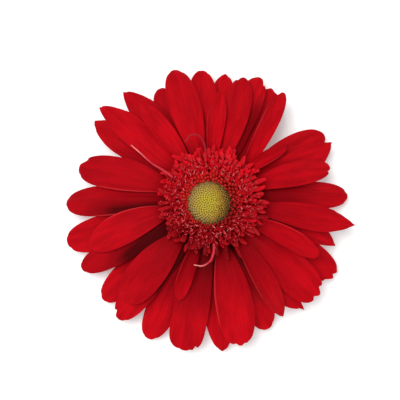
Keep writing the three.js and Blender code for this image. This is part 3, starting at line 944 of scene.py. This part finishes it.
# The solids that the open florets stand for, from the innermost ring to the outermost.
OPEN_RINGS = ("open_disc_florets", "trans_florets", "fringe_florets")
FLORET_ROWS = 7  # rows along an open floret's tube, its lips and its style
TUBE_SIDES = 7
LIP_SIDES = 4
ANTHER_SIDES = 6
STYLE_SIDES = 5
CLOSED_SIDES = 8
COLLAR_RADIUS = 7.7  # mm from the axis to the innermost closed florets
COLLAR_WIDTH = 3.4  # mm from there to the outermost


def around(radius, bearing, height):
    """A point at a distance and bearing from the head's axis."""
    return np.array([AXIS[0] + radius * math.cos(bearing), AXIS[1] + radius * math.sin(bearing), height])


def facing(bearing):
    """The level direction away from the head's axis."""
    return around(1, bearing, 0) - around(0, bearing, 0)


def disc_guides():
    """The middle lines of the open disc florets' solids."""
    return [lobe_curve(name, 4)[1] for name in OPEN_RINGS]


def guide_point(guides, rank, shares):
    """Points along a floret whose rank runs from 0 in the innermost ring to 2 in the outermost."""
    rank = min(max(rank, 0.0), 2.0)
    low = min(int(rank), 1)
    inner = along_line(guides[low], shares)
    outer = along_line(guides[low + 1], shares)
    return inner + (outer - inner) * (rank - low)


def open_floret(heaps, guides, rank, bearing, rng, drop=0.0):
    """One open disc floret: its tube, outer lip, curled inner lip, anthers and forked style."""
    red, pink = heaps
    t = np.linspace(0, 1, FLORET_ROWS)
    # Random tone with painted light: brighter towards bearing 1.4 rad and deeper on the opposite side; a
    # little deeper towards the outer rings.
    tone = rng.uniform(0.4, 0.8) + 0.38 * math.cos(bearing - 1.4) - 0.08 * rank
    mouth_share = rng.uniform(0.72, 0.86) - 0.06 * rank
    line = guide_point(guides, rank, np.linspace(0, mouth_share, FLORET_ROWS))
    lift = rng.uniform(-0.5, 0.5) * MM - drop
    path = [around(r, bearing, z + lift * k) for (r, z), k in zip(line, t)]
    mouth_radius = (0.5 + 0.1 * rank) * MM
    sweep(red, path, np.linspace(0.36 * MM, mouth_radius, FLORET_ROWS), TUBE_SIDES, tone * 0.8)

    mouth = path[-1]
    ahead = unit(path[-1] - path[-2])
    outwards = facing(bearing)
    sideways = np.cross([0, 0, 1], outwards)

    lip_length = (1.2 + 0.35 * rank + 0.62 * rank**2) * MM * rng.uniform(0.55, 1.25)
    lip_length *= 1 + 0.13 * math.cos(bearing)
    lip_width = (0.9 + 0.42 * rank) * MM * rng.uniform(0.8, 1.2)
    heading = unit(ahead * 0.9 + outwards * 0.9 + sideways * rng.uniform(-0.85, 0.85))
    droop = rng.uniform(-0.35, 0.55)
    twist = sideways * rng.uniform(-0.3, 0.3)
    lip = [mouth + (heading * k + twist * k * k - UPWARDS * droop * k * k) * lip_length for k in t]
    widths = lip_width * np.array([0.8, 0.9, 1.0, 1.0, 0.9, 0.7, 0.4])
    ups = [unit(UPWARDS + heading * 0.3 * k + twist) for k in t]
    strap(red, np.array(lip), ups, widths, 0.2 * MM, tone, teeth=0.18, cup=rng.uniform(-0.05, 0.28))

    for side in (-1, 1):
        start = mouth - outwards * mouth_radius * 0.7 + sideways * side * mouth_radius * 0.5
        curl = rng.uniform(0.9, 1.7) * MM
        turn = rng.uniform(2.2, 4.4)
        inwards = -outwards * rng.uniform(0.2, 0.8) + sideways * side * rng.uniform(0.2, 1.0)
        rise = [UPWARDS * 1.5 * math.sin(turn * k) + inwards * 1.6 * (1 - math.cos(turn * k)) for k in t]
        strand = [start + step * curl / turn for step in rise]
        sweep(red, strand, np.linspace(0.18, 0.08, FLORET_ROWS) * MM, LIP_SIDES, min(1.0, tone + 0.2))

    lean = unit(ahead * 0.8 + UPWARDS * 0.9 + sideways * rng.uniform(-0.4, 0.4))
    anther_length = rng.uniform(0.7, 1.4) * MM
    column = [mouth + lean * anther_length * k for k in np.linspace(-0.4, 1, 5)]
    sweep(red, column, np.array([0.2, 0.25, 0.26, 0.23, 0.15]) * MM, ANTHER_SIDES, tone, finish=1)

    style_length = rng.uniform(0.6, 1.7) * MM * (1 - 0.35 * rank)
    swing = rng.uniform(0, 2 * math.pi)
    bend = (sideways * math.cos(swing) + outwards * math.sin(swing)) * rng.uniform(0.2, 1.0)
    shares = np.linspace(-0.05, 1, FLORET_ROWS)
    stem = [column[-1] + (lean * (k - 0.35 * k * k) + bend * k * k) * style_length for k in shares]
    # glow sets how far a style's tip goes to the palest pink, partly painted highlight; less in the outer
    # rings.
    glow = rng.uniform(0.0, 1.0) ** 1.1 * (1 - 0.6 * rank)
    sweep(pink, stem, np.linspace(0.13, 0.18, FLORET_ROWS) * MM, STYLE_SIDES, glow)
    onwards = unit(stem[-1] - stem[-2])
    fork = unit(np.cross(onwards, outwards * math.cos(glow * 6) + sideways * math.sin(glow * 6)))
    for side in (-1, 1):
        prong = [stem[-1] + (onwards * 0.5 * k + fork * side * 0.26 * k**1.3) * MM for k in (0, 0.35, 0.7, 1)]
        sweep(pink, prong, np.array([0.16, 0.19, 0.15, 0.06]) * MM, STYLE_SIDES, glow)


def closed_floret(heap, guides, share_out, bearing, rng):
    """A closed red floret: a slim club with a blunt tip, in the smooth collar round the dome."""
    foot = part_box("open_disc_florets")[0].z
    radius = (COLLAR_RADIUS + COLLAR_WIDTH * share_out) * MM
    top = guides[0][-1][1] - (1.6 - 1.1 * share_out + rng.uniform(-0.6, 0.5)) * MM
    radii = np.array([0.4, 0.46, 0.52, 0.6, 0.66, 0.7, 0.68, 0.55, 0.22]) * MM * rng.uniform(0.9, 1.12)
    lean = rng.uniform(-0.1, 0.9) * MM
    shift = DOME_LEAN * (1 - share_out)
    t = np.linspace(0, 1, len(radii))
    path = [around(radius + lean * k * k, bearing, foot + (top - foot) * k) + shift for k in t]
    # The tone is random with painted light: brighter towards bearing 2.35 rad and deeper on the opposite
    # side.
    sweep(heap, path, radii * 1.06, CLOSED_SIDES, rng.uniform(0.42, 0.8) + 0.4 * math.cos(bearing - 2.35))


# ---- Middle buds -------------------------------------------------------------------------------


DOME = "unopened_disc_florets"
CORE_INSET = 0.75 * MM  # how far the core under the buds lies inside the dome's outline
CORE_SIDES = 40
BUD_SIDES = 8
YOUNG_BRISTLES = 5  # bristles beside each bud in the middle of the dome
RIM_BRISTLES = 30  # and beside each young bud at its rim
RIPE_LOSS = 24  # how many fewer a ripe bud at the rim has
RIM = 0.7  # where the rim starts, as a share of the dome's radius


def dome_profile():
    """The dome's outline as (radius, height), from its neck to its top."""
    line = turned_outline(DOME)
    return line[np.argsort(line[:, 1] * 1000 - line[:, 0])]


def dome_core(heap, line):
    """The closed body that the buds stand in."""
    low = line[0, 1] + CORE_INSET
    outline = [(max(r - CORE_INSET, 0.02 * MM), z - CORE_INSET * 0.8) for r, z in line if z > low]
    turns = [2 * math.pi * j / CORE_SIDES for j in range(CORE_SIDES)]
    rings = [[around(r, turn, z) + DOME_LEAN for turn in turns] for r, z in outline]
    first = around(0, 0, outline[0][1]) + DOME_LEAN
    last = around(0, 0, outline[-1][1] + 0.02 * MM) + DOME_LEAN
    heap.add(np.concatenate([[first], *rings, [last]]), capped_faces(len(rings), CORE_SIDES), 0.1, 0.6)


def bud_ripeness(share_out, bearing, rng):
    """0 for a young bud and 1 for a ripe dark one: ripest on the right, away from the middle."""
    side = 0.5 + 0.5 * math.cos(bearing + 0.1)
    ripe = (share_out - 0.15) * 1.15 * side**1.5 + rng.uniform(-0.12, 0.12)
    return min(1.0, max(0.0, ripe))


# ---- Operators ---------------------------------------------------------------------------------

STALK = "stalk_and_receptacle"
STALK_ROWS = 60
STALK_SIDES = 96
STALK_HAIRS = 420
CUT_RINGS = 7
CUT_HOLLOW = 0.25 * MM  # how far the middle of the cut end stands up from its rim
BRACTS = 13  # in each row
BRACT_ROWS = 18
BRACT_COLUMNS = 9
BRACT_HAIRS = 26
THREAD_ROWS = 40
THREAD_TONES = (0.95, 0.05, 1.0)


class GERBERA_OT_stalk(bpy.types.Operator):
    """Turn the stalk and receptacle, with ribs, hairs and the cut end"""

    bl_idname = "gerbera.stalk"
    bl_label = "Stalk and receptacle"

    def execute(self, context):
        colours = context.scene.gerbera_colours
        rng = random.Random(3)
        line = turned_outline(STALK)
        line = line[np.lexsort((line[:, 0], line[:, 1]))]
        line = line[line[:, 0] > 1e-4]
        marks = marks_along(line)
        fine = np.interp(np.linspace(0, marks[-1], STALK_ROWS), marks, np.arange(len(line)))
        side = smooth(np.arange(len(line), dtype=float), line, fine)
        side[0] = line[0]
        angles = np.arange(STALK_SIDES) * 2 * math.pi / STALK_SIDES
        ribs = 1 + 0.012 * np.cos(angles * 14) + 0.006 * np.cos(angles * 5 + 1)
        rings = []
        for r, z in np.minimum(side, [line[:, 0].max(), 1]):
            x = AXIS[0] + r * ribs * np.cos(angles)
            y = AXIS[1] + r * ribs * np.sin(angles)
            rings.append(np.stack([x, y, np.full(STALK_SIDES, z)], axis=1))
        cut = []
        shares = np.linspace(1, 0, CUT_RINGS + 1)[1:-1]
        for k in shares:
            ring = rings[0].copy()
            ring[:, :2] = AXIS + (ring[:, :2] - AXIS) * k
            ring[:, 2] = CUT_HOLLOW * (1 - k**6)
            cut.append(ring)
        # The points run up the skin to the crown, then over the cut end's rings to its hub.
        crown = STALK_ROWS * STALK_SIDES
        top = crown - STALK_SIDES
        cut_start = crown + 1
        last = cut_start + (CUT_RINGS - 2) * STALK_SIDES
        hub = last + STALK_SIDES
        pairs = [(j, (j + 1) % STALK_SIDES) for j in range(STALK_SIDES)]
        skin_faces = grid_faces(STALK_ROWS, STALK_SIDES, closed=True)
        skin_faces += [[crown, top + j, top + k] for j, k in pairs]
        cut_faces = [[cut_start + j, cut_start + k, k, j] for j, k in pairs]
        cut_faces += grid_faces(CUT_RINGS - 1, STALK_SIDES, cut_start, closed=True, flipped=True)
        cut_faces += [[hub, last + k, last + j] for j, k in pairs]
        crown_point = around(0, 0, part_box(STALK)[1].z)
        hub_point = around(0, 0, CUT_HOLLOW)
        heap = Heap()
        heap.add(
            np.concatenate([*rings, [crown_point], *cut, [hub_point]]),
            skin_faces + cut_faces,
            np.concatenate([np.ones(crown + 1), np.repeat(shares, STALK_SIDES), [0]]),
            finish=[0] * len(skin_faces) + [1] * len(cut_faces),
        )
        for _ in range(STALK_HAIRS):
            k = rng.uniform(0.03, 0.8)
            r, z = side[int(k * (STALK_ROWS - 1))]
            bearing = rng.uniform(0, 2 * math.pi)
            root = around(r * 0.99, bearing, z)
            reach = rng.uniform(0.35, 0.6) * MM
            tip = root + facing(bearing) * reach + UPWARDS * rng.uniform(-0.2, 0.3) * MM
            hair(heap, root, tip, 0.02 * MM, finish=2)
        materials = [stalk_finish(colours), pith_finish(colours), bristle_finish(colours)]
        heap.piece("stalk", [STALK], materials)
        return {"FINISHED"}


class GERBERA_OT_bracts(bpy.types.Operator):
    """Shape the three rows of overlapping bracts"""

    bl_idname = "gerbera.bracts"
    bl_label = "Bracts"

    def execute(self, context):
        sizes = context.scene.gerbera_sizes
        colours = context.scene.gerbera_colours
        materials = [bract_finish(colours), bristle_finish(colours), bract_inside_finish()]
        shares = np.linspace(0, 1, BRACT_ROWS)
        shape = (0.82 + 0.5 * shares - 0.5 * shares**2) * (1 - shares**3) ** 0.75
        arc = 2 * math.pi / BRACTS * 1.22 * shape
        across = np.linspace(-1, 1, BRACT_COLUMNS)
        along = np.tile(np.repeat(shares, BRACT_COLUMNS), 2)
        top, bottom, margin = blade_faces(BRACT_ROWS, BRACT_COLUMNS)
        finishes = [0] * len(top + margin) + [2] * len(bottom)
        for number, node in enumerate(("inner_bract_row", "middle_bract_row", "outer_bract_row")):
            rng = random.Random(40 + number)
            first, line = lobe_curve(node, 7)
            curve = along_line(line, shares)
            heap = Heap()
            for i in range(BRACTS):
                bearing = first + i * 2 * math.pi / BRACTS + rng.uniform(-0.02, 0.02)
                upper = []
                lower = []
                for (r, z), turn in zip(curve, arc):
                    for a in across:
                        keel = 0.16 * MM * (1 - abs(a)) ** 2
                        tuck = 0.13 * MM * a
                        half = sizes.bract_thickness / 2 * (1 - 0.6 * a * a)
                        upper.append(around(r + tuck + half + keel, bearing + turn * a / 2, z))
                        lower.append(around(r + tuck - half, bearing + turn * a / 2, z))
                tone = rng.random()
                faces = top + margin + bottom
                heap.add(upper + lower, faces, along, tone, np.tile(across, BRACT_ROWS * 2), finishes)
                for _ in range(BRACT_HAIRS):
                    row = rng.randrange(3, BRACT_ROWS - 1)
                    a = rng.choice((-1, 1)) * rng.uniform(0.75, 1.0)
                    r, z = curve[row]
                    angle = bearing + arc[row] * a / 2
                    root = around(r + 0.1 * MM, angle, z)
                    reach = rng.uniform(0.4, 0.8) * MM
                    tip = around(r + reach, angle + rng.uniform(-0.03, 0.03), z + 0.4 * MM)
                    hair(heap, root, tip, 0.022 * MM, finish=1)
            heap.piece(node.replace("_row", "s"), [node], materials)
        return {"FINISHED"}


class GERBERA_OT_ray_florets(bpy.types.Operator):
    """Shape every ray floret on its solid's middle surface"""

    bl_idname = "gerbera.ray_florets"
    bl_label = "Ray florets"

    def execute(self, context):
        sizes = context.scene.gerbera_sizes
        colours = context.scene.gerbera_colours
        materials = [ray_face_finish(colours), ray_back_finish(colours)]
        for number, node in enumerate(nodes_named("ray_floret_")):
            ray_floret(node, number, sizes, materials)
        return {"FINISHED"}


class GERBERA_OT_disc_florets(bpy.types.Operator):
    """Model the open and closed red florets of the disc one by one"""

    bl_idname = "gerbera.disc_florets"
    bl_label = "Disc florets"

    def execute(self, context):
        sizes = context.scene.gerbera_sizes
        colours = context.scene.gerbera_colours
        rng = random.Random(7)
        guides = disc_guides()
        red = Heap()
        pink = Heap()
        for k in range(sizes.open_florets):
            rank = 2 * ((k + 0.5) / sizes.open_florets) ** 0.87
            bearing = k * GOLDEN_ANGLE + rng.uniform(-0.05, 0.05)
            open_floret((red, pink), guides, rank + rng.uniform(-0.08, 0.08), bearing, rng)
        for k in range(sizes.skirt_florets):
            bearing = (k + rng.uniform(-0.3, 0.3)) * 2 * math.pi / sizes.skirt_florets
            open_floret((red, pink), guides, 2.0, bearing, rng, drop=rng.uniform(1.6, 3.2) * MM)
        materials = [floret_finish(colours), anther_finish(colours)]
        red.piece("open_florets", OPEN_RINGS, materials)
        pink.piece("styles", OPEN_RINGS, [style_finish(colours)])
        closed = Heap()
        for k in range(sizes.closed_florets):
            share_out = (k + 0.5) / sizes.closed_florets
            closed_floret(closed, guides, share_out, k * GOLDEN_ANGLE, rng)
        closed.piece("closed_florets", ["open_disc_florets"], [closed_finish(colours)])
        return {"FINISHED"}


class GERBERA_OT_middle_buds(bpy.types.Operator):
    """Set the green buds and their bristles in spirals over the dome"""

    bl_idname = "gerbera.middle_buds"
    bl_label = "Middle buds"

    def execute(self, context):
        sizes = context.scene.gerbera_sizes
        colours = context.scene.gerbera_colours
        rng = random.Random(11)
        line = dome_profile()
        widest_radius, widest_height = line[np.argmax(line[:, 0])]
        top = line[:, 1].max()
        above = line[line[:, 1] >= widest_height - 0.2 * MM]
        above = above[np.argsort(above[:, 0])]
        stations = np.array([0, 0.4, 0.7, 0.86, 0.95, 1.0])
        swell = np.array([0.32, 0.41, 0.43, 0.38, 0.27, 0.13]) * MM
        core = Heap()
        bristles = Heap()
        dome_core(core, line)
        for k in range(sizes.buds):
            share_out = math.sqrt((k + 0.5) / sizes.buds)
            bearing = k * GOLDEN_ANGLE
            radius = (widest_radius + 0.3 * MM) * share_out
            height = float(np.interp(radius, above[:, 0], above[:, 1]))
            height -= 1.2 * MM * max(0, share_out - 0.85)
            slope = (top - widest_height) * 2 * share_out**1.5 / widest_radius
            outwards = facing(bearing)
            normal = unit(outwards * slope * 0.7 + UPWARDS)
            root = around(radius, bearing, height) - normal * 1.3 * MM + DOME_LEAN
            tall = 1.55 * MM * ((0.72 + 0.5 * share_out) * rng.uniform(0.92, 1.08))
            path = [root + normal * tall * q - outwards * 0.14 * MM * q * q for q in stations]
            ripe = bud_ripeness(share_out, bearing, rng)
            sweep(core, path, swell * (0.92 + 0.3 * share_out), BUD_SIDES, ripe, across=share_out)
            rim_bristles = round(RIM_BRISTLES - RIPE_LOSS * ripe)
            for _ in range(YOUNG_BRISTLES if share_out < RIM else rim_bristles):
                angle = bearing + rng.uniform(-0.5, 0.5) * 0.8 * MM / max(radius, MM)
                start = around(radius + rng.uniform(-0.3, 0.4) * MM, angle, height - 0.4 * MM) + DOME_LEAN
                spread = outwards * rng.uniform(-0.4, 2.0) * share_out**2
                spread = spread + np.array([rng.uniform(-0.4, 0.4) for _ in "xyz"])
                reach = rng.uniform(0.7, 1.4) * MM * (0.75 + 0.7 * share_out**3)
                tip = start + unit(normal + spread) * reach
                hair(bristles, start, tip, 0.05 * MM, rng.random() * (1 - ripe))
        core.piece("middle_buds", [DOME], [bud_finish(colours)])
        bristles.piece("bud_bristles", [DOME], [bristle_finish(colours)])
        return {"FINISHED"}


class GERBERA_OT_threads(bpy.types.Operator):
    """Roll the threadlike florets that curl out over the rays"""

    bl_idname = "gerbera.threads"
    bl_label = "Threadlike florets"

    def execute(self, context):
        material = thread_finish()
        shares = np.linspace(0, 1, THREAD_ROWS)
        radii = (0.4 - 0.22 * shares**2) * MM
        for node, tone in zip(nodes_named("thread_floret_"), THREAD_TONES):
            path = thread_path(node)
            heap = Heap()
            curve = smooth(np.linspace(0, 1, len(path)), path, shares)
            sweep(heap, curve, radii, 12, tone, squash=0.7)
            heap.piece(node.replace("_floret", ""), [node], [material])
        return {"FINISHED"}


FLOOR_SIZE = 6  # metres
ELEVATION = 81  # degrees from the floor up to the camera
LENS = 120  # mm
SENSOR = 36  # mm
HEAD_SHARE = 0.73  # share of the view's width that the head takes up
HEAD_RIGHT = 0.025  # how far right of the view's middle the head is, as a share of its width
HEAD_LOW = 0.0125  # and how far below it


def soft_room():
    """A plain pale room: brightest near the horizon and dimmer overhead."""
    world = bpy.data.worlds.new("soft_room")
    world.use_nodes = True
    tree = world.node_tree
    place = tree.nodes.new("ShaderNodeTexCoord")
    split = tree.nodes.new("ShaderNodeSeparateXYZ")
    fade = tree.nodes.new("ShaderNodeMapRange")
    fade.inputs["From Max"].default_value = 0.6
    fade.inputs["To Min"].default_value = 1.0
    fade.inputs["To Max"].default_value = 0.3
    background = tree.nodes["Background"]
    background.inputs["Color"].default_value = (1, 1, 1, 1)
    tree.links.new(place.outputs["Generated"], split.inputs["Vector"])
    tree.links.new(split.outputs["Z"], fade.inputs["Value"])
    tree.links.new(fade.outputs["Result"], background.inputs["Strength"])
    return world


class GERBERA_OT_stage(bpy.types.Operator):
    """Lay the floor and set the lights and the camera"""

    bl_idname = "gerbera.stage"
    bl_label = "Stage"

    def execute(self, context):
        scene = context.scene
        low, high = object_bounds()
        centre = (low + high) / 2
        bpy.ops.mesh.primitive_plane_add(size=FLOOR_SIZE, location=(centre.x, centre.y, 0))
        floor = context.object
        floor.name = "floor"
        floor.data.materials.append(floor_finish(scene.gerbera_colours))
        floor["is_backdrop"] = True

        def lamp(name, towards, softness, strength):
            data = bpy.data.lights.new(name, "SUN")
            data.angle = math.radians(softness)
            data.energy = strength
            obj = bpy.data.objects.new(name, data)
            obj.location = centre + Vector(towards)
            obj.rotation_euler = (-Vector(towards)).to_track_quat("-Z", "Y").to_euler()
            scene.collection.objects.link(obj)

        lamp("key_light", (-0.26, 0.08, 0.95), softness=34, strength=2.1)
        lamp("fill_light", (0.15, -0.7, 0.8), softness=75, strength=0.55)
        scene.world = soft_room()
        scene.view_settings.view_transform = "Standard"

        camera = bpy.data.cameras.new("camera")
        camera.lens = LENS
        camera.sensor_width = SENSOR
        obj = bpy.data.objects.new("camera", camera)
        elevation = math.radians(ELEVATION)
        back = Vector((0, -math.cos(elevation), math.sin(elevation)))
        view_up = Vector((0, math.sin(elevation), math.cos(elevation)))
        view_width = (high.x - low.x) / HEAD_SHARE
        aim = centre + Vector((-HEAD_RIGHT, 0, 0)) * view_width + view_up * HEAD_LOW * view_width
        obj.location = aim + back * (view_width * LENS / SENSOR)
        obj.rotation_euler = (-back).to_track_quat("-Z", "Y").to_euler()
        scene.collection.objects.link(obj)
        scene.camera = obj
        return {"FINISHED"}


PARTS = (
    GERBERA_OT_stalk,
    GERBERA_OT_bracts,
    GERBERA_OT_ray_florets,
    GERBERA_OT_disc_florets,
    GERBERA_OT_middle_buds,
    GERBERA_OT_threads,
    GERBERA_OT_stage,
)


class GERBERA_PT_panel(bpy.types.Panel):
    """Lists the flower's pieces and its sizes and colours"""

    bl_idname = "GERBERA_PT_panel"
    bl_label = "Gerbera"
    bl_space_type = "VIEW_3D"
    bl_region_type = "UI"
    bl_category = "Gerbera"

    def draw(self, context):
        for part in PARTS:
            self.layout.operator(part.bl_idname)
        for group in (context.scene.gerbera_sizes, context.scene.gerbera_colours):
            box = self.layout.box()
            for key in group.__annotations__:
                box.prop(group, key)


CLASSES = (GerberaSizes, GerberaColours, *PARTS, GERBERA_PT_panel)


def register():
    for kind in CLASSES:
        bpy.utils.register_class(kind)
    bpy.types.Scene.gerbera_sizes = PointerProperty(type=GerberaSizes)
    bpy.types.Scene.gerbera_colours = PointerProperty(type=GerberaColours)


def unregister():
    del bpy.types.Scene.gerbera_colours
    del bpy.types.Scene.gerbera_sizes
    for kind in reversed(CLASSES):
        bpy.utils.unregister_class(kind)


def main():
    """Builds every piece and the stage."""
    register()
    for part in PARTS:
        group, name = part.bl_idname.split(".")
        getattr(getattr(bpy.ops, group), name)()


if __name__ == "__main__":
    main()
